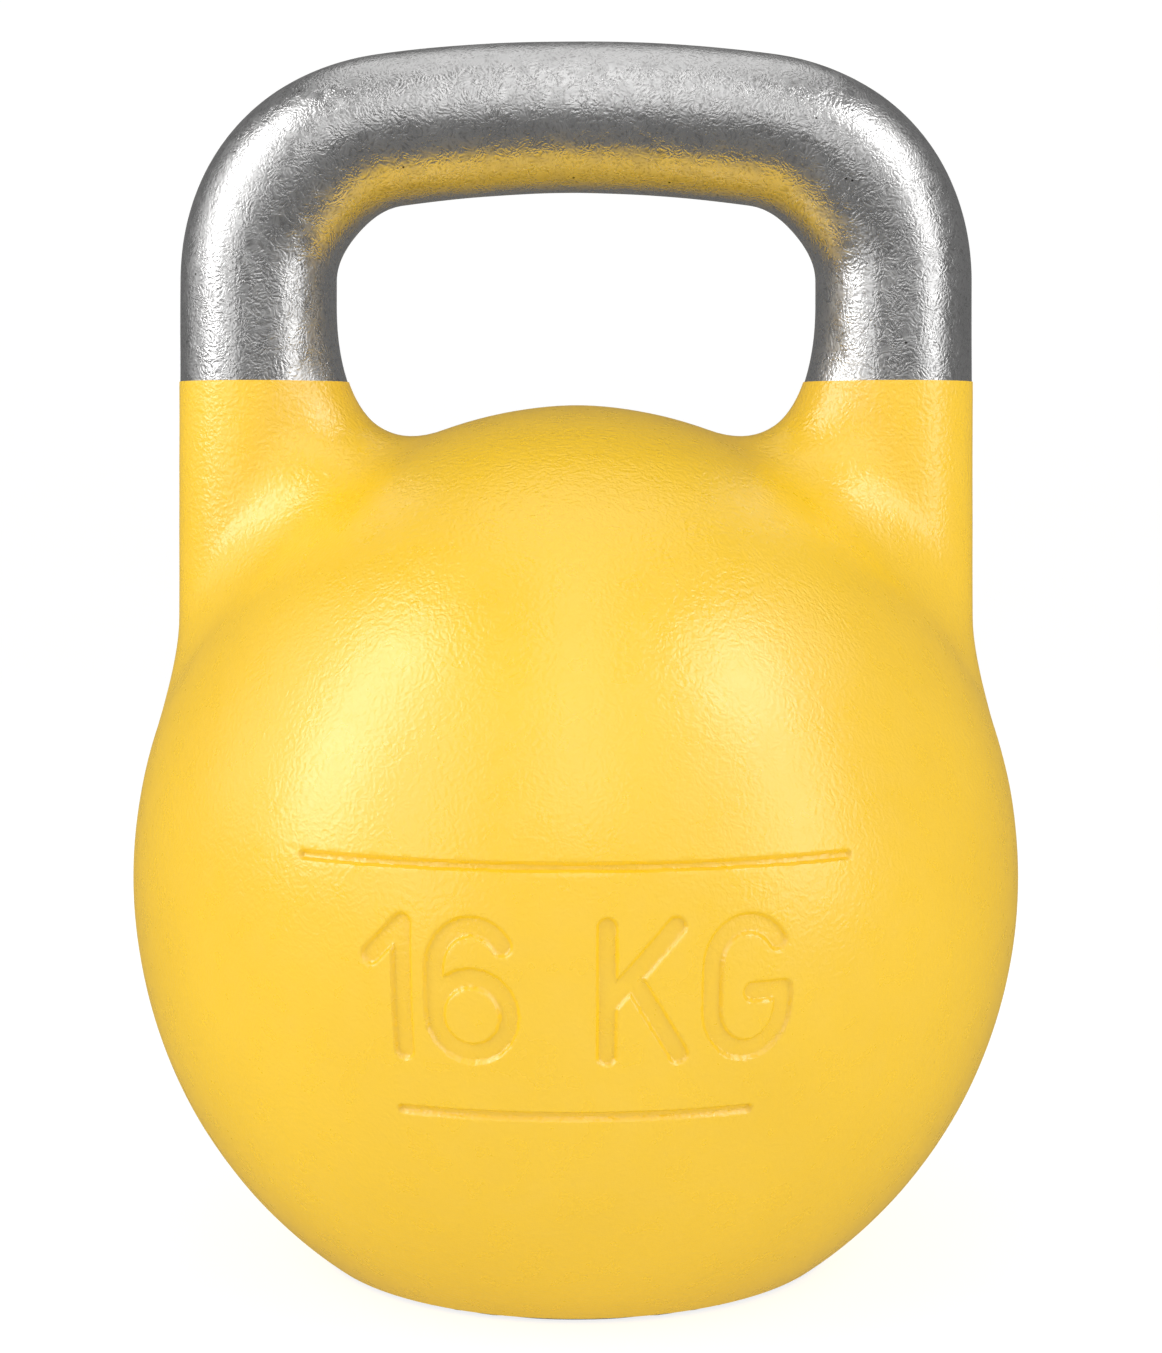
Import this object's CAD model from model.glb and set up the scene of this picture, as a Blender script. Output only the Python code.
"""Competition kettlebell: a powder-coated ball with a bare cast handle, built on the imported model."""
import math

import bmesh
import bpy
import numpy as np
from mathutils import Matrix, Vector, noise


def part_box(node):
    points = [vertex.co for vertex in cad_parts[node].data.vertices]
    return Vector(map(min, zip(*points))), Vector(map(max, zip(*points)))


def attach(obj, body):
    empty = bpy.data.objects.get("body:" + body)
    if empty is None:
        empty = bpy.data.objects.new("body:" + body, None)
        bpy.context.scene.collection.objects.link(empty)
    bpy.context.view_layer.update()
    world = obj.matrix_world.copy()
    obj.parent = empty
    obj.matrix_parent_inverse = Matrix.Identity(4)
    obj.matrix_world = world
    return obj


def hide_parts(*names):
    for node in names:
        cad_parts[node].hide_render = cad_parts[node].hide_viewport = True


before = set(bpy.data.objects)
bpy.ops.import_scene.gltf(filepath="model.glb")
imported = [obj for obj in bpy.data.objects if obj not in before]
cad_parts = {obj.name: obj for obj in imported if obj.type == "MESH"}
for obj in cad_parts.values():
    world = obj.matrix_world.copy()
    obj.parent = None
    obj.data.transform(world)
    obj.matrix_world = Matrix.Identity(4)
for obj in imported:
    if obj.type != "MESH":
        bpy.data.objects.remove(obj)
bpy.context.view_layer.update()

MM = 0.001

# Driving dimensions of the bell, in metres, as in the CAD model but for the slightly more pointed crown
BALL_RADIUS = 105.0 * MM
BALL_UPPER_HEIGHT = 110.4 * MM
BALL_LOWER_HEIGHT = 108.8 * MM
BALL_CENTRE_Z = 89.6 * MM
CROWN_POWER = 1.9
FOOT_EDGE_RADIUS = 4.0 * MM
HORN_X = 76.6 * MM
HORN_RADIUS = 18.8 * MM
BAR_RADIUS = 18.2 * MM
BAR_CENTRE_Z = 269.7 * MM
HORN_ROOT_Z = 115.0 * MM
CORNER_RADIUS = 37.0 * MM
ARCH_RADIUS = 330.0 * MM
WALL = 10.0 * MM
HOLLOW_FLOOR_Z = 18.0 * MM
RECESS_RADIUS = 27.0 * MM
SHOULDER_Z = 8.5 * MM
OPENING_RADIUS = 23.2 * MM

# Where a horn meets the ball, the blend is widest towards the window and tight on the outside
BLEND_INNER = 33.5 * MM
BLEND_FRONT = 15.0 * MM
BLEND_OUTER = 6.3 * MM
INNER_BALL_SHARE = 0.765
CORNER_SWELL = 0.8 * MM

# Limits that keep the distance formulas from dividing by nearly nothing
TINY = 1e-9
LEAST_SLOPE = 1e-3
LEAST_STEEPNESS = 0.05
GRADIENT_STEP = 0.02 * MM
SURFACE_ROUNDS = 5
FOOT_ROUNDS = 40

# Powder coat: its film, and the planes where it ends
COAT_OUTER = 0.24 * MM
COAT_INNER = 0.02 * MM
COAT_TOP_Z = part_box("powder_coat")[1].z
COAT_BOTTOM_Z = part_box("powder_coat")[0].z

# Mesh of the outer surface
CELL = 2.75 * MM
RELAX_ROUNDS = 8
RELAX_SHARE = 0.6
FINE_BELOW_COAT_TOP = 3 * MM
MARK_MARGINS = (-3 * MM, -1.6 * MM)
MARK_WALL_REACH = 0.6 * MM
CUT_TOLERANCE = 0.02 * MM
LEVEL_TOLERANCE = 1e-7
MOST_CORNERS = 4

# Rough solids that the outer surface grows from
HANDLE_STEPS = 40
HANDLE_SIDES = 48
BALL_HALF_STEPS = 60
BALL_SIDES = 120
POLE_RADIUS = 0.1 * MM

# Core that cuts the hollow out of the casting
CORE_STEPS = 40
CORE_SIDES = 128
CORE_POLE_RADIUS = 0.05 * MM
CORE_START_Z = -5 * MM
CREASE_ANGLE = 35

# Weight mark pressed into the front of the ball
MARK_DEPTH = 1.0 * MM
MARK_EDGE = 0.9 * MM
LETTER_HEIGHT = 26.0 * MM
LETTER_STROKE = 4.0 * MM
LETTER_BASE_Z = 68.0 * MM
RULE_STROKE = 1.6 * MM
UPPER_RULE_Z = 106.0 * MM
UPPER_RULE_HALF = 60.0 * MM
LOWER_RULE_Z = 55.0 * MM
LOWER_RULE_HALF = 38.0 * MM
MARK_HALF_WIDTH = 80 * MM
MARK_LOW_Z = 40 * MM
MARK_HIGH_Z = 120 * MM
FAR_OUTSIDE = -1.0
ARC_STEPS = 20

# Slow unevenness of the casting
CAST_WAVE_DEPTH = 0.12 * MM
CAST_WAVE_LENGTH = 14.0 * MM
CAST_WAVE_FULL_Z = 20 * MM

ARCH_ANGLE = math.asin((HORN_X - CORNER_RADIUS) / (ARCH_RADIUS - CORNER_RADIUS))
CORNER_ANGLE = math.pi / 2 - ARCH_ANGLE
ARCH_CENTRE_Z = BAR_CENTRE_Z - ARCH_RADIUS
CORNER_X = HORN_X - CORNER_RADIUS
CORNER_Z = ARCH_CENTRE_Z + (ARCH_RADIUS - CORNER_RADIUS) * math.cos(ARCH_ANGLE)
GRIP_LENGTH = CORNER_RADIUS * CORNER_ANGLE + ARCH_RADIUS * ARCH_ANGLE


# ---------------------------------------------------------------- shape of the bell

def ball_distance(points):
    """Distance from each point to the ball, negative inside."""
    x, y, z = points.T
    across = np.maximum(np.hypot(x, y), TINY) / BALL_RADIUS
    upper = z > BALL_CENTRE_Z
    half_height = np.where(upper, BALL_UPPER_HEIGHT, BALL_LOWER_HEIGHT)
    up = (z - BALL_CENTRE_Z) / half_height
    power = np.where(upper, CROWN_POWER, 2.0)
    level = across**power + up**2 - 1
    slope = np.hypot(power * across ** (power - 1) / BALL_RADIUS, 2 * up / half_height)
    return level / np.maximum(slope, LEAST_SLOPE)


def handle_distance(points):
    """Distance from each point to the handle: the nearest of horn, corner and arch."""
    x, y, z = np.abs(points[:, 0]), points[:, 1], points[:, 2]
    past_end = z - np.clip(z, HORN_ROOT_Z, CORNER_Z)
    horn = np.sqrt((x - HORN_X) ** 2 + past_end**2 + y * y) - HORN_RADIUS

    angle = np.clip(np.arctan2(z - CORNER_Z, x - CORNER_X), 0, CORNER_ANGLE)
    along = CORNER_RADIUS * angle / GRIP_LENGTH
    radius = HORN_RADIUS + (BAR_RADIUS - HORN_RADIUS) * along
    radius = radius + CORNER_SWELL * np.sin(math.pi * angle / CORNER_ANGLE) ** 2
    middle_x = CORNER_X + CORNER_RADIUS * np.cos(angle)
    middle_z = CORNER_Z + CORNER_RADIUS * np.sin(angle)
    corner = np.sqrt((x - middle_x) ** 2 + (z - middle_z) ** 2 + y * y) - radius

    angle = np.clip(np.arctan2(x, z - ARCH_CENTRE_Z), 0, ARCH_ANGLE)
    along = ARCH_RADIUS * angle / GRIP_LENGTH
    radius = BAR_RADIUS + (HORN_RADIUS - BAR_RADIUS) * along
    middle_x = ARCH_RADIUS * np.sin(angle)
    middle_z = ARCH_CENTRE_Z + ARCH_RADIUS * np.cos(angle)
    arch = np.sqrt((x - middle_x) ** 2 + (z - middle_z) ** 2 + y * y) - radius
    return np.minimum(np.minimum(horn, corner), arch)


def blend_reach(points):
    """How far the blend reaches up the horn and along the ball, by direction round the horn's axis."""
    inward = HORN_X - np.abs(points[:, 0])
    facing = inward / np.maximum(np.hypot(inward, points[:, 1]), TINY)
    slope = (BLEND_INNER - BLEND_OUTER) / 2
    bulge = (BLEND_INNER + BLEND_OUTER) / 2 - BLEND_FRONT
    up_horn = BLEND_FRONT + slope * facing + bulge * facing**2
    along_ball = up_horn * (1 + (INNER_BALL_SHARE - 1) * np.maximum(facing, 0) ** 2)
    return up_horn, along_ball


def foot_edge():
    """Centre radius of the foot's rounded edge, and the ball's normal there, outward and downward."""
    low, high = -math.pi / 2, 0.0
    for _ in range(FOOT_ROUNDS):
        angle = (low + high) / 2
        out, down = math.cos(angle) / BALL_RADIUS, -math.sin(angle) / BALL_LOWER_HEIGHT
        length = math.hypot(out, down)
        out, down = out / length, down / length
        height = BALL_CENTRE_Z + BALL_LOWER_HEIGHT * math.sin(angle) + FOOT_EDGE_RADIUS * down
        low, high = (low, angle) if height > FOOT_EDGE_RADIUS else (angle, high)
    return BALL_RADIUS * math.cos(angle) - FOOT_EDGE_RADIUS * out, out, down


FOOT_CENTRE_RADIUS, FOOT_OUT, FOOT_DOWN = foot_edge()


def bell_distance(points):
    """Distance to the whole bell: ball and handle blended, cut off by the rounded foot."""
    ball = ball_distance(points)
    handle = handle_distance(points)
    up_horn, along_ball = blend_reach(points)
    near_ball = np.maximum(up_horn - ball, 0) / up_horn
    near_handle = np.maximum(along_ball - handle, 0) / along_ball
    near = np.hypot(near_ball, near_handle)
    steepness = np.maximum(np.hypot(near_ball / up_horn, near_handle / along_ball), TINY)
    body = np.where(near > 0, (1 - near) * near / steepness, np.minimum(ball, handle))
    across = np.hypot(points[:, 0], points[:, 1]) - FOOT_CENTRE_RADIUS
    under = FOOT_EDGE_RADIUS - points[:, 2]
    on_edge = (across > 0) & (under > 0) & (across * FOOT_DOWN < under * FOOT_OUT)
    return np.where(on_edge, np.hypot(across, under) - FOOT_EDGE_RADIUS, np.maximum(body, -points[:, 2]))


def gradient(points):
    """Direction in which the distance grows, by central differences."""
    slopes = []
    for axis in range(3):
        shift = np.zeros(3)
        shift[axis] = GRADIENT_STEP
        slopes.append(bell_distance(points + shift) - bell_distance(points - shift))
    return np.stack(slopes, axis=1) / (2 * GRADIENT_STEP)


def on_surface(points, offset=0.0, level=None):
    """Points moved onto the surface that lies offset outside the bell; level points keep their height."""
    points = points.copy()
    for _ in range(SURFACE_ROUNDS):
        slope = gradient(points)
        if level is not None:
            slope[level, 2] = 0
        steep = np.maximum((slope**2).sum(axis=1), LEAST_STEEPNESS)
        miss = bell_distance(points) - offset
        points -= slope * (miss / steep)[:, None]
    return points


# ---------------------------------------------------------------- weight mark

def arc(cx, cy, rx, ry, start, end):
    """Points along an elliptical arc, angles in degrees."""
    angles = np.radians(np.linspace(start, end, ARC_STEPS + 1))
    return [(cx + rx * math.cos(a), cy + ry * math.sin(a)) for a in angles]


# Centre lines of the characters, one unit high, and the width of each
GLYPHS = {
    "1": (0.30, [[(0.04, 0.74), (0.30, 1.0), (0.30, 0.0)]]),
    "6": (0.60, [arc(0.3, 0.3, 0.3, 0.3, 0, 360), [(0, 0.3)] + arc(0.3, 0.66, 0.3, 0.34, 180, 35)]),
    "K": (0.56, [[(0, 0), (0, 1)], [(0.54, 1), (0, 0.40)], [(0.19, 0.61), (0.57, 0)]]),
    "G": (0.60, [arc(0.3, 0.66, 0.3, 0.34, 35, 180) + arc(0.3, 0.34, 0.3, 0.34, 180, 360)
                 + [(0.6, 0.46), (0.34, 0.46)]]),
    " ": (0.22, []),
}
LETTER_GAP = 0.27


def mark_lines():
    """Centre lines of the mark as (stroke width, points), points in metres along and up the ball."""
    text = "16 KG"
    width = sum(GLYPHS[c][0] for c in text) + LETTER_GAP * (len(text) - 1)
    pen = -width / 2
    lines = []
    for character in text:
        advance, strokes = GLYPHS[character]
        for stroke in strokes:
            points = [((pen + x) * LETTER_HEIGHT, LETTER_BASE_Z + y * LETTER_HEIGHT) for x, y in stroke]
            lines.append((LETTER_STROKE, points))
        pen += advance + LETTER_GAP
    for z, half in ((UPPER_RULE_Z, UPPER_RULE_HALF), (LOWER_RULE_Z, LOWER_RULE_HALF)):
        lines.append((RULE_STROKE, [(-half, z), (half, z)]))
    return lines


MARK_LINES = mark_lines()


def mark_margin(points):
    """How far each point of the ball lies inside the mark's strokes, negative outside."""
    along = np.arctan2(points[:, 0], -points[:, 1]) * BALL_RADIUS
    up = points[:, 2]
    margin = np.full(len(points), FAR_OUTSIDE)
    near = (np.abs(along) < MARK_HALF_WIDTH) & (up > MARK_LOW_Z) & (up < MARK_HIGH_Z)
    place = np.stack([along[near], up[near]], axis=1)
    best = margin[near]
    for stroke, line in MARK_LINES:
        for start, end in zip(np.array(line[:-1]), np.array(line[1:])):
            run = end - start
            part = np.clip(((place - start) @ run) / (run @ run), 0, 1)
            distance = np.hypot(*(place - start - part[:, None] * run).T)
            best = np.maximum(best, stroke / 2 - distance)
    margin[near] = best
    return margin


def mark_depth(points):
    """Depth of the pressed mark at each point."""
    fade = np.clip(mark_margin(points) / MARK_EDGE + 0.5, 0, 1)
    return MARK_DEPTH * fade * fade * (3 - 2 * fade)


def cast_wave(points):
    """Slow unevenness of the casting, from 0 to its full depth."""
    values = [noise.noise(Vector(p) / CAST_WAVE_LENGTH) for p in points.tolist()]
    return CAST_WAVE_DEPTH * (0.5 + 0.5 * np.array(values))


def finished(points, offset, level=None):
    """Points on the finished surface: blended, marked and slightly uneven."""
    points = on_surface(points, offset, level)
    normal = gradient(points)
    normal /= np.maximum(np.linalg.norm(normal, axis=1), TINY)[:, None]
    sunk = mark_depth(points) + cast_wave(points) * np.clip(points[:, 2] / CAST_WAVE_FULL_Z, 0, 1)
    if level is not None:
        normal[level, 2] = 0
    return points - normal * sunk[:, None]


# ---------------------------------------------------------------- mesh helpers

def new_object(name, vertices, faces):
    """A mesh object, linked to the scene."""
    mesh = bpy.data.meshes.new(name)
    mesh.from_pydata([tuple(v) for v in vertices], [], faces)
    mesh.update()
    piece = bpy.data.objects.new(name, mesh)
    bpy.context.scene.collection.objects.link(piece)
    return piece


def vertex_array(mesh):
    """The mesh's vertices as an array."""
    flat = np.empty(len(mesh.vertices) * 3)
    mesh.vertices.foreach_get("co", flat)
    return flat.reshape(-1, 3)


def lathe(profile, segments):
    """Vertices and faces of a closed profile of (radius, z) points turned about Z."""
    count = len(profile)
    vertices, faces = [], []
    for turn in range(segments):
        angle = 2 * math.pi * turn / segments
        for radius, z in profile:
            vertices.append((radius * math.cos(angle), radius * math.sin(angle), z))
    for turn in range(segments):
        this, following = turn * count, (turn + 1) % segments * count
        for k in range(count - 1):
            faces.append((this + k, following + k, following + k + 1, this + k + 1))
    faces.append([turn * count for turn in range(segments)][::-1])
    faces.append([turn * count + count - 1 for turn in range(segments)])
    return vertices, faces


def applied(piece):
    """Replaces the piece's mesh with the result of its modifiers."""
    graph = bpy.context.evaluated_depsgraph_get()
    mesh = bpy.data.meshes.new_from_object(piece.evaluated_get(graph), depsgraph=graph)
    piece.modifiers.clear()
    piece.data = mesh


def handle_rings():
    """Places (x, z) along the handle's centre line, each with its turn from upright."""
    rings = [((-HORN_X, BALL_CENTRE_Z), -math.pi / 2)]
    for k in range(-HANDLE_STEPS, HANDLE_STEPS + 1):
        side = 1 if k >= 0 else -1
        along = GRIP_LENGTH * abs(k) / HANDLE_STEPS
        if along < ARCH_RADIUS * ARCH_ANGLE:
            turn = along / ARCH_RADIUS
            x = ARCH_RADIUS * math.sin(turn)
            z = ARCH_CENTRE_Z + ARCH_RADIUS * math.cos(turn)
        else:
            turn = ARCH_ANGLE + (along - ARCH_RADIUS * ARCH_ANGLE) / CORNER_RADIUS
            x = CORNER_X + CORNER_RADIUS * math.sin(turn)
            z = CORNER_Z + CORNER_RADIUS * math.cos(turn)
        rings.append(((side * x, z), side * turn))
    return rings + [((HORN_X, BALL_CENTRE_Z), math.pi / 2)]


def rough_handle():
    """Vertices and faces of a plain tube along the handle, closed at both ends."""
    rings = handle_rings()
    around = HANDLE_SIDES
    vertices, faces = [], []
    for (x, z), turn in rings:
        for k in range(around):
            angle = 2 * math.pi * k / around
            out = BAR_RADIUS * math.cos(angle)
            place = (x + out * math.sin(turn), BAR_RADIUS * math.sin(angle), z + out * math.cos(turn))
            vertices.append(place)
    for ring in range(len(rings) - 1):
        for k in range(around):
            a, b = ring * around + k, ring * around + (k + 1) % around
            faces.append((a, a + around, b + around, b))
    faces.append(list(range(around)))
    faces.append([len(vertices) - 1 - k for k in range(around)])
    return vertices, faces


def rough_ball():
    """Vertices and faces of a plain ball with a flat foot."""
    profile = []
    for k in range(BALL_HALF_STEPS + 1):
        angle = -math.pi / 2 + math.pi * k / BALL_HALF_STEPS
        height = BALL_UPPER_HEIGHT if angle > 0 else BALL_LOWER_HEIGHT
        z = max(BALL_CENTRE_Z + height * math.sin(angle), 0)
        profile.append((max(BALL_RADIUS * math.cos(angle), POLE_RADIUS), z))
    return lathe(profile, BALL_SIDES)


def rough_bell():
    """Ball and handle as plain overlapping solids, fused into even cells."""
    vertices, faces = rough_handle()
    base = len(vertices)
    ball_vertices, ball_faces = rough_ball()
    vertices += ball_vertices
    faces += [[base + index for index in face] for face in ball_faces]
    piece = new_object("rough_bell", vertices, faces)
    fuse = piece.modifiers.new("fuse", "REMESH")
    fuse.mode = "VOXEL"
    fuse.voxel_size = CELL
    applied(piece)
    return piece


def relaxed(mesh):
    """Moves the mesh's vertices onto the bell and evens out their spacing."""
    points = on_surface(vertex_array(mesh))
    edges = np.empty(len(mesh.edges) * 2, dtype=np.int64)
    mesh.edges.foreach_get("vertices", edges)
    first, second = edges.reshape(-1, 2).T
    degree = np.bincount(edges, minlength=len(points))[:, None]
    for _ in range(RELAX_ROUNDS):
        total = np.zeros_like(points)
        np.add.at(total, first, points[second])
        np.add.at(total, second, points[first])
        points = on_surface(points + RELAX_SHARE * (total / degree - points))
    mesh.vertices.foreach_set("co", points.ravel())
    mesh.update()


def refine(bm, wanted):
    """Splits the faces whose middles are wanted into quarters and puts the new vertices on the bell."""
    middles = np.array([face.calc_center_median()[:] for face in bm.faces])
    chosen = wanted(middles)
    edges = {edge for face, take in zip(bm.faces, chosen) if take for edge in face.edges}
    made = bmesh.ops.subdivide_edges(bm, edges=list(edges), cuts=1, use_grid_fill=True)
    new = [item for item in made["geom_inner"] if isinstance(item, bmesh.types.BMVert)]
    places = on_surface(np.array([vert.co[:] for vert in new]))
    for vert, place in zip(new, places):
        vert.co = place


def front(points):
    """Which points are on the front half of the bell."""
    return points[:, 1] < 0


def bell_mesh():
    """The bell's outer surface: even cells, finer on the bare handle and finest along the mark's edges."""
    rough = rough_bell()
    relaxed(rough.data)
    bm = bmesh.new()
    bm.from_mesh(rough.data)
    bpy.data.objects.remove(rough)
    wide, close = MARK_MARGINS
    refine(bm, lambda p: (p[:, 2] > COAT_TOP_Z - FINE_BELOW_COAT_TOP) | (front(p) & (mark_margin(p) > wide)))
    refine(bm, lambda p: front(p) & (mark_margin(p) > close))
    refine(bm, lambda p: front(p) & (np.abs(mark_margin(p)) < MARK_WALL_REACH))
    for z in (COAT_TOP_Z, COAT_BOTTOM_Z):
        everything = bm.verts[:] + bm.edges[:] + bm.faces[:]
        bmesh.ops.bisect_plane(bm, geom=everything, dist=CUT_TOLERANCE,
                               plane_co=(0, 0, z), plane_no=(0, 0, 1))
    bmesh.ops.triangulate(bm, faces=[face for face in bm.faces if len(face.verts) > MOST_CORNERS])
    return bm


def make_coat(bm):
    """The powder coat: a closed film over the part of the bell between its two end planes."""
    middles = np.array([face.calc_center_median()[2] for face in bm.faces])
    keep = (middles > COAT_BOTTOM_Z) & (middles < COAT_TOP_Z)
    faces = [[vert.index for vert in face.verts] for face, take in zip(bm.faces, keep) if take]
    used = sorted({index for face in faces for index in face})
    renumber = {index: k for k, index in enumerate(used)}
    faces = [[renumber[index] for index in face] for face in faces]
    places = np.array([vert.co[:] for vert in bm.verts])[used]
    at_top = np.isclose(places[:, 2], COAT_TOP_Z, atol=LEVEL_TOLERANCE)
    level = at_top | np.isclose(places[:, 2], COAT_BOTTOM_Z, atol=LEVEL_TOLERANCE)
    outer = finished(places, COAT_OUTER, level)
    inner = finished(places, COAT_INNER, level)
    count = len(used)
    sides = {}
    for face in faces:
        for a, b in zip(face, face[1:] + face[:1]):
            sides[(a, b)] = True
    rims = [(b, a, a + count, b + count) for a, b in sides if (b, a) not in sides]
    backs = [[index + count for index in face[::-1]] for face in faces]
    return new_object("powder_coat_skin", np.vstack([outer, inner]), faces + backs + rims)


def core_profile():
    """Half section (radius, z) of the core: the stepped opening from below, then the hollow."""
    inside = BALL_RADIUS - WALL
    lower, upper = BALL_LOWER_HEIGHT - WALL, BALL_UPPER_HEIGHT - WALL
    profile = [(0, CORE_START_Z), (RECESS_RADIUS, CORE_START_Z), (RECESS_RADIUS, SHOULDER_Z),
               (OPENING_RADIUS, SHOULDER_Z), (OPENING_RADIUS, HOLLOW_FLOOR_Z)]
    start = math.asin((HOLLOW_FLOOR_Z - BALL_CENTRE_Z) / lower)
    for k in range(CORE_STEPS + 1):
        angle = start + (math.pi / 2 - start) * k / CORE_STEPS
        height = upper if angle > 0 else lower
        profile.append((inside * math.cos(angle), BALL_CENTRE_Z + height * math.sin(angle)))
    return [(max(radius, CORE_POLE_RADIUS), z) for radius, z in profile]


def make_casting(bm):
    """The casting: the whole outer surface, with the hollow and the core opening cut out of it."""
    places = finished(np.array([vert.co[:] for vert in bm.verts]), 0.0)
    faces = [[vert.index for vert in face.verts] for face in bm.faces]
    casting = new_object("casting_body", places, faces)
    core = new_object("core", *lathe(core_profile(), CORE_SIDES))
    cut = casting.modifiers.new("core", "BOOLEAN")
    cut.operation = "DIFFERENCE"
    cut.solver = "EXACT"
    cut.object = core
    applied(casting)
    bpy.data.objects.remove(core)
    return casting


def smooth(piece):
    """Smooth shading, with the sharp edges kept crisp."""
    piece.data.polygons.foreach_set("use_smooth", [True] * len(piece.data.polygons))
    piece.data.set_sharp_from_angle(angle=math.radians(CREASE_ANGLE))


# ---------------------------------------------------------------- materials

class Nodes:
    """Short calls for building a material's node tree."""

    def __init__(self, name):
        self.material = bpy.data.materials.new(name)
        self.material.use_nodes = True
        self.tree = self.material.node_tree
        self.shader = self.tree.nodes["Principled BSDF"]
        self.place = self.add("ShaderNodeTexCoord").outputs["Object"]

    def add(self, kind, **settings):
        node = self.tree.nodes.new(kind)
        for name, value in settings.items():
            setattr(node, name, value)
        return node

    def link(self, source, target):
        self.tree.links.new(source, target)

    def noise(self, scale, detail=2.0, roughness=0.5, place=None):
        node = self.add("ShaderNodeTexNoise")
        self.link(place or self.place, node.inputs["Vector"])
        node.inputs["Scale"].default_value = scale
        node.inputs["Detail"].default_value = detail
        node.inputs["Roughness"].default_value = roughness
        return node.outputs["Fac"]

    def warped(self, scale, reach):
        """The place, pushed about by a slow noise, which draws a fine noise out into short flowing ridges."""
        node = self.add("ShaderNodeTexNoise")
        self.link(self.place, node.inputs["Vector"])
        node.inputs["Scale"].default_value = scale
        node.inputs["Detail"].default_value = 1.0
        centred = self.add("ShaderNodeVectorMath", operation="SUBTRACT")
        self.link(node.outputs["Color"], centred.inputs[0])
        centred.inputs[1].default_value = (0.5, 0.5, 0.5)
        pushed = self.add("ShaderNodeVectorMath", operation="MULTIPLY_ADD")
        self.link(centred.outputs["Vector"], pushed.inputs[0])
        pushed.inputs[1].default_value = (reach, reach, reach)
        self.link(self.place, pushed.inputs[2])
        return pushed.outputs["Vector"]

    def ramp(self, source, stops):
        node = self.add("ShaderNodeValToRGB")
        self.link(source, node.inputs["Fac"])
        elements = node.color_ramp.elements
        while len(elements) < len(stops):
            elements.new(0.5)
        for element, (position, color) in zip(elements, stops):
            element.position = position
            element.color = (*color, 1)
        return node.outputs["Color"]

    def range(self, source, low, high, to_low, to_high):
        node = self.add("ShaderNodeMapRange")
        self.link(source, node.inputs["Value"])
        for name, value in (("From Min", low), ("From Max", high), ("To Min", to_low), ("To Max", to_high)):
            node.inputs[name].default_value = value
        return node.outputs["Result"]

    def math(self, operation, first, second):
        node = self.add("ShaderNodeMath", operation=operation)
        for socket, value in zip(node.inputs, (first, second)):
            if isinstance(value, (int, float)):
                socket.default_value = value
            else:
                self.link(value, socket)
        return node.outputs["Value"]

    def mix(self, factor, first, second):
        node = self.add("ShaderNodeMix", data_type="RGBA")
        self.link(factor, node.inputs["Factor"])
        for socket, value in ((node.inputs[6], first), (node.inputs[7], second)):
            if isinstance(value, tuple):
                socket.default_value = (*value, 1)
            else:
                self.link(value, socket)
        return node.outputs[2]

    def bump(self, height, distance, strength=1.0, after=None):
        node = self.add("ShaderNodeBump")
        self.link(height, node.inputs["Height"])
        node.inputs["Distance"].default_value = distance
        node.inputs["Strength"].default_value = strength
        if after:
            self.link(after, node.inputs["Normal"])
        return node.outputs["Normal"]

    def finish(self, **sockets):
        for name, value in sockets.items():
            socket = self.shader.inputs[name.replace("_", " ")]
            if isinstance(value, bpy.types.NodeSocket):
                self.link(value, socket)
            elif isinstance(value, tuple):
                socket.default_value = (*value, 1)
            else:
                socket.default_value = value
        return self.material


def cast_metal():
    """Bare cast steel, tumbled: bright, with short flowing ridges all over and a few tiny dark pits."""
    n = Nodes("cast_metal")
    ridges = n.noise(1450, detail=1.0, roughness=0.5, place=n.warped(210, 5 * MM))
    grain = n.noise(3000, detail=1.5)
    pits = n.add("ShaderNodeTexVoronoi")
    n.link(n.place, pits.inputs["Vector"])
    pits.inputs["Scale"].default_value = 330
    pit = n.range(pits.outputs["Distance"], 0.06, 0.13, 1, 0)
    rare = n.range(n.noise(140, detail=1), 0.60, 0.66, 0, 1)
    pit = n.math("MULTIPLY", pit, rare)
    tone = n.noise(45, detail=3, roughness=0.6)
    color = n.ramp(tone, [(0.35, (0.75, 0.745, 0.74)), (0.65, (0.81, 0.805, 0.80))])
    color = n.mix(n.range(ridges, 0.30, 0.48, 0.55, 0.0), color, (0.38, 0.37, 0.365))
    color = n.mix(pit, color, (0.05, 0.045, 0.04))
    rough = n.range(n.noise(260, detail=2), 0.3, 0.7, 0.22, 0.32)
    normal = n.bump(ridges, 0.145 * MM)
    normal = n.bump(grain, 0.02 * MM, after=normal)
    return n.finish(Base_Color=color, Metallic=1.0, Roughness=rough, Normal=normal)


def yellow_coat():
    """Yellow powder coat: satin, finely wrinkled, and ridged on the horns by the casting under it."""
    n = Nodes("yellow_coat")
    wrinkle = n.noise(1000, detail=1.0, roughness=0.5, place=n.warped(200, 2.5 * MM))
    ridges = n.noise(950, detail=1.0, roughness=0.5, place=n.warped(170, 3.5 * MM))
    height = n.add("ShaderNodeSeparateXYZ")
    n.link(n.place, height.inputs["Vector"])
    horn = n.range(height.outputs["Z"], 0.140, 0.185, 0.0, 1.0)
    tone = n.noise(24, detail=3, roughness=0.5)
    color = n.ramp(tone, [(0.3, (0.845, 0.522, 0.009)), (0.7, (0.875, 0.545, 0.012))])
    rough = n.range(n.noise(160, detail=3), 0.3, 0.7, 0.26, 0.32)
    normal = n.bump(n.math("MULTIPLY", ridges, horn), 0.22 * MM)
    normal = n.bump(wrinkle, 0.12 * MM, after=normal)
    return n.finish(Base_Color=color, Roughness=rough, IOR=1.62, Specular_IOR_Level=1.0, Normal=normal)


RINGS_PER_METRE = 900.0


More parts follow.
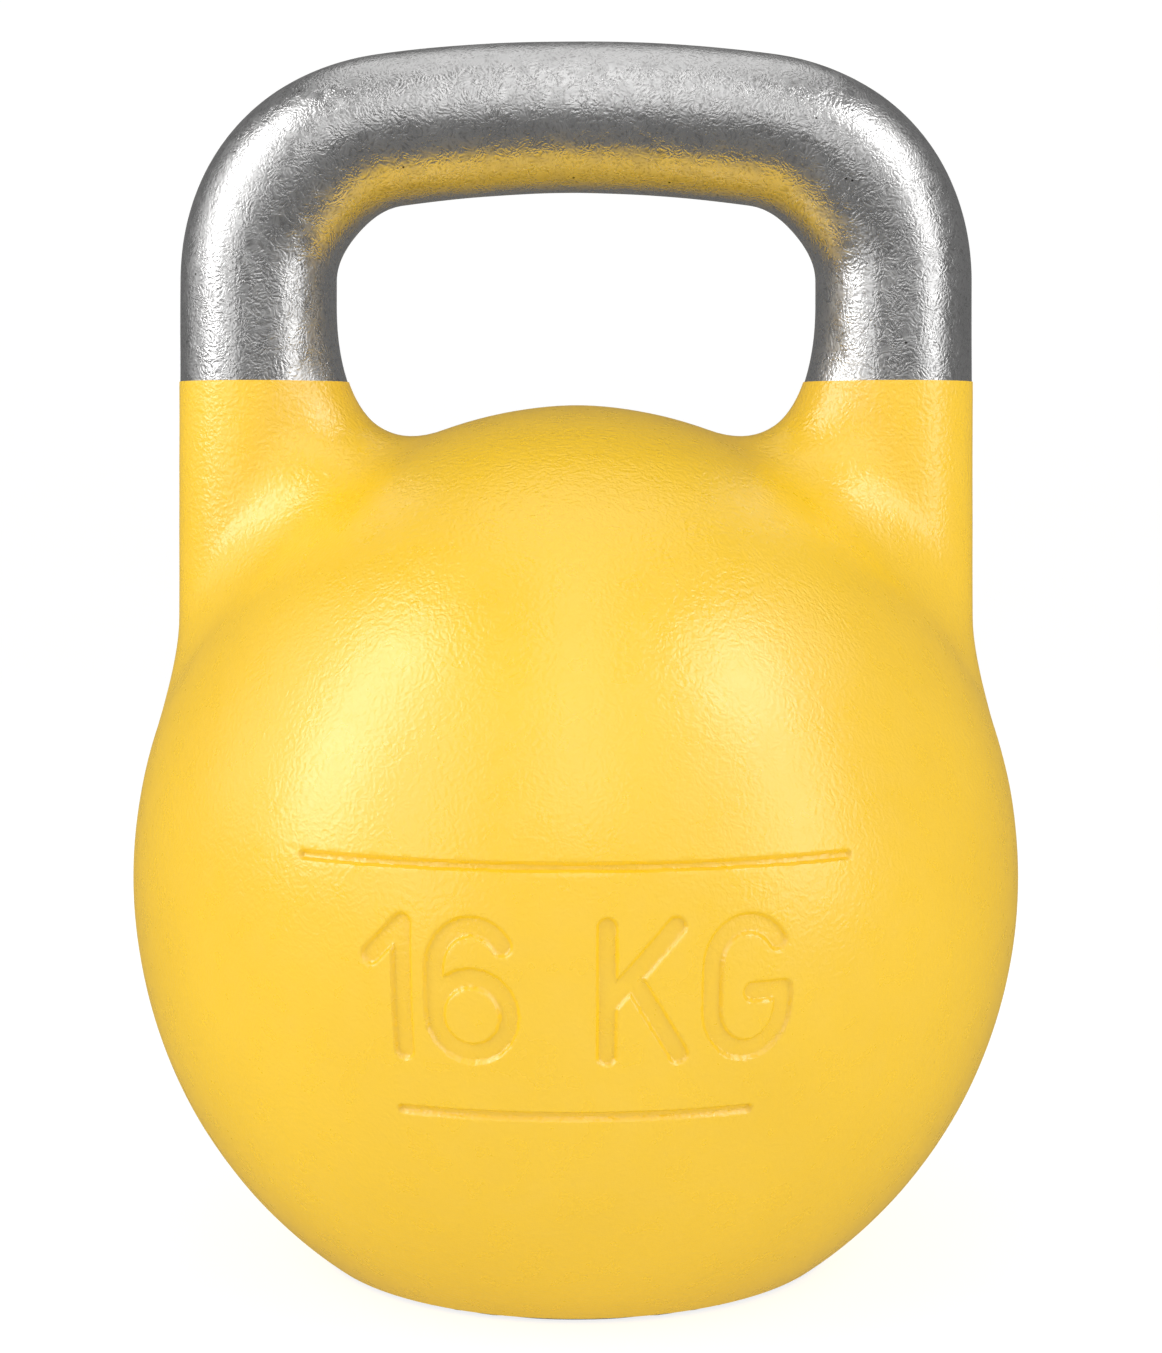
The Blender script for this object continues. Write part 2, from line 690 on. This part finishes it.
def turned_steel(name, color):
    """Machined steel with fine turning marks about the bell's axis."""
    n = Nodes(name)
    parts = n.add("ShaderNodeSeparateXYZ")
    n.link(n.place, parts.inputs["Vector"])
    radius = n.math("SQRT", n.math("ADD", n.math("POWER", parts.outputs["X"], 2.0),
                                  n.math("POWER", parts.outputs["Y"], 2.0)), 0)
    wander = n.math("MULTIPLY", n.noise(60, detail=2), 0.4 * MM)
    phase = n.math("MULTIPLY", n.math("ADD", radius, wander), RINGS_PER_METRE * 2 * math.pi)
    ring = n.math("SINE", phase, 0)
    smudge = n.noise(70, detail=4, roughness=0.6)
    tint = n.mix(n.range(smudge, 0.35, 0.7, 0, 1), color, tuple(0.72 * c for c in color))
    rough = n.range(smudge, 0.3, 0.7, 0.28, 0.46)
    return n.finish(Base_Color=tint, Metallic=1.0, Roughness=rough, Normal=n.bump(ring, 0.02 * MM, 0.6))


def black_rubber():
    """Flat sealing rubber with a faint moulded grain."""
    n = Nodes("seal_rubber")
    grain = n.noise(1400, detail=3)
    color = n.ramp(n.noise(80, detail=2), [(0.3, (0.016, 0.016, 0.017)), (0.7, (0.030, 0.030, 0.031))])
    return n.finish(Base_Color=color, Roughness=0.62, Normal=n.bump(grain, 0.05 * MM, 0.6))


def bonded_shot():
    """Iron shot set in dark resin."""
    n = Nodes("ballast")
    cells = n.add("ShaderNodeTexVoronoi")
    n.link(n.place, cells.inputs["Vector"])
    cells.inputs["Scale"].default_value = 330
    ball = n.range(cells.outputs["Distance"], 0.1, 0.6, 1, 0)
    color = n.mix(ball, (0.03, 0.028, 0.026), (0.30, 0.28, 0.26))
    return n.finish(Base_Color=color, Metallic=0.4, Roughness=0.5, Normal=n.bump(ball, 0.8 * MM, 0.8))


def set_material(piece, material):
    """Gives a new or carried-over piece one material."""
    if piece.material_slots:
        for slot in piece.material_slots:
            slot.material = material
    else:
        piece.data.materials.append(material)


# ---------------------------------------------------------------- studio

CAMERA_DISTANCE = 0.600
CAMERA_Z = 0.1894
CAMERA_SIDE = 0.0012
CAMERA_LENS = 66.1
CAMERA_SHIFT = -0.1674
SENSOR = 36.0

STAGE_RADIUS = 3.2
STAGE_CURVE = 1.2
STAGE_WALL = 2.6
STAGE_CURVE_STEPS = 12
STAGE_SIDES = 96


def make_camera():
    """Level camera in front of the bell; the shift brings the whole ball into the frame."""
    data = bpy.data.cameras.new("camera")
    data.lens = CAMERA_LENS
    data.sensor_width = SENSOR
    data.shift_y = CAMERA_SHIFT
    camera = bpy.data.objects.new("camera", data)
    camera.location = (CAMERA_SIDE, -CAMERA_DISTANCE, CAMERA_Z)
    camera.rotation_euler = (math.pi / 2, 0, 0)
    bpy.context.scene.collection.objects.link(camera)
    bpy.context.scene.camera = camera


def make_stage():
    """Pale round floor that curves up into a wall, out of the way of reflections."""
    profile = [(0.01, 0.0), (STAGE_RADIUS - STAGE_CURVE, 0.0)]
    for k in range(1, STAGE_CURVE_STEPS + 1):
        angle = math.pi / 2 * k / STAGE_CURVE_STEPS
        reach = STAGE_RADIUS - STAGE_CURVE + STAGE_CURVE * math.sin(angle)
        profile.append((reach, STAGE_CURVE * (1 - math.cos(angle))))
    profile.append((STAGE_RADIUS, STAGE_WALL))
    vertices, faces = lathe(profile, STAGE_SIDES)
    stage = new_object("studio_floor", vertices, faces[:-1])
    stage.data.polygons.foreach_set("use_smooth", [True] * len(stage.data.polygons))
    stage.visible_glossy = False
    n = Nodes("studio_paper")
    shade = n.noise(3.0, detail=2)
    tint = n.mix(shade, (0.30, 0.30, 0.298), (0.32, 0.32, 0.318))
    material = n.finish(Base_Color=tint, Roughness=1.0, Emission_Color=(1.0, 1.0, 0.995),
                        Emission_Strength=0.79)
    set_material(stage, material)


def softbox(name, azimuth, elevation, size, power):
    """A rectangular light aimed at the bell. Azimuth is turned from the camera's side, to the right."""
    data = bpy.data.lights.new(name, "AREA")
    data.shape = "RECTANGLE"
    data.size, data.size_y = size
    data.energy = power
    light = bpy.data.objects.new(name, data)
    a, e = math.radians(azimuth), math.radians(elevation)
    aim = Vector((0, 0, BALL_CENTRE_Z))
    direction = Vector((math.sin(a) * math.cos(e), -math.cos(a) * math.cos(e), math.sin(e)))
    light.location = aim + SOFTBOX_DISTANCE * direction
    light.visible_camera = False
    light.rotation_euler = (aim - light.location).to_track_quat("-Z", "Y").to_euler()
    bpy.context.scene.collection.objects.link(light)


# Panels round the bell: azimuth, elevation, width, height and power
SOFTBOX_DISTANCE = 1.3
SOFTBOXES = {
    "key_left": (-66, 31, 0.5, 1.25, 5.8),
    "front_left": (-38, 22, 0.4, 1.3, 1.5),
    "side_left": (-95, 25, 0.5, 1.0, 0.8),
    "key_right": (55, 45, 0.5, 0.5, 2.3),
    "low_right": (56, 15, 0.5, 0.9, 2.2),
    "front_right": (30, 30, 0.4, 1.0, 0.6),
    "side_right": (85, 45, 0.5, 0.5, 0.5),
    "overhead": (0, 47, 0.4, 1.7, 2.2),
    "top": (180, 78, 1.0, 1.0, 2.0),
}
ROOM_GREY = 0.16


def make_lights():
    """A bright bank on the left, a softer one on the right, one overhead, and a dim room."""
    for name, (azimuth, elevation, width, height, power) in SOFTBOXES.items():
        softbox(name, azimuth, elevation, (width, height), power)
    world = bpy.data.worlds.new("studio_room")
    world.use_nodes = True
    back = world.node_tree.nodes["Background"]
    back.inputs["Color"].default_value = (ROOM_GREY, ROOM_GREY, ROOM_GREY, 1)
    back.inputs["Strength"].default_value = 1.0
    bpy.context.scene.world = world
    bpy.context.scene.view_settings.view_transform = "Standard"
    bpy.context.scene.view_settings.look = "None"


# ---------------------------------------------------------------- assembly

make_camera()
make_stage()
make_lights()

shell = bell_mesh()
coat = make_coat(shell)
casting = make_casting(shell)
shell.free()

metal = cast_metal()
replacements = (
    (coat, "powder_coat", "yellow_coat", yellow_coat()),
    (casting, "casting", "cast_metal", metal),
)
for piece, node, slot, material in replacements:
    smooth(piece)
    set_material(piece, material)
    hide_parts(node)
    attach(piece, "root")

steel = turned_steel("machined_steel", (0.50, 0.50, 0.50))
carried = {
    "base_plug": steel,
    "plug_lock_screws": steel,
    "trim_discs": steel,
    "trim_bolt": steel,
    "plug_seal": black_rubber(),
    "ballast_block": bonded_shot(),
}
for node, material in carried.items():
    set_material(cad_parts[node], material)
